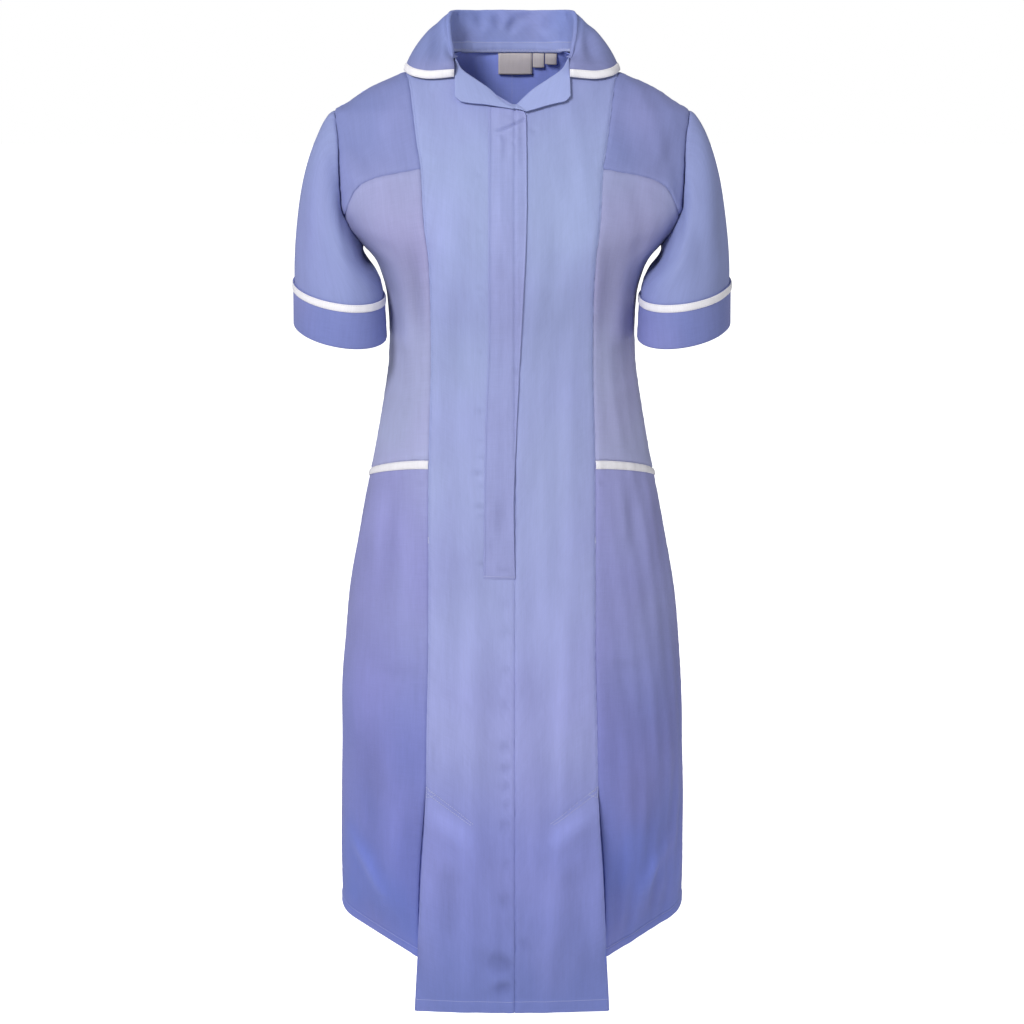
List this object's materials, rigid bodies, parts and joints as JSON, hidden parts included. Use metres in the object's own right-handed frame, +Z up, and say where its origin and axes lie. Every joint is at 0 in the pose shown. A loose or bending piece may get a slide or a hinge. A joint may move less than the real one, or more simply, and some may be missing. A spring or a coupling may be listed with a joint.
{
  "type": "nurse uniform dress",
  "caption": "Knee-length fitted work dress, filled out as worn: white-bound collar, cuffs and pockets, zip front behind a placket, short sleeves and kick pleats.",
  "frame": {"origin": "on the middle line, level with the points where the shoulder seams meet the collar, where the wearer's shoulders hold the dress", "axes": "+Z up, the front faces -Y, the wearer's left is +X"},
  "size_m": [0.4748, 0.303, 1.092],
  "materials": {
    "twill": "periwinkle blue cotton and polyester twill, pressed, with a soft sheen",
    "binding": "white plain-woven binding, pressed flat",
    "tape": "blue zip tape",
    "label": "bare woven label, grey"
  },
  "bodies": {
    "root": {"front_centre_left": "twill", "front_centre_right": "twill", "front_yoke_left": "twill", "front_yoke_right": "twill", "front_side_left": "twill", "front_side_right": "twill", "skirt_side_left": "twill", "skirt_side_right": "twill", "back_centre_left": "twill", "back_centre_right": "twill", "back_side_left": "twill", "back_side_right": "twill", "placket": "twill", "lapel_left": "twill", "lapel_right": "twill", "collar": "twill", "sleeve_left": "twill", "sleeve_right": "twill", "cuff_left": "twill", "cuff_right": "twill", "pleat_underlay_left": "twill", "pleat_underlay_right": "twill", "pocket_bag_left": "twill", "pocket_bag_right": "twill", "collar_trim": "binding", "cuff_trim_left": "binding", "cuff_trim_right": "binding", "pocket_trim_left": "binding", "pocket_trim_right": "binding", "zip_tape": "tape", "label_main": "label", "label_size": "label", "label_small": "label"}
  },
  "joints": []
}
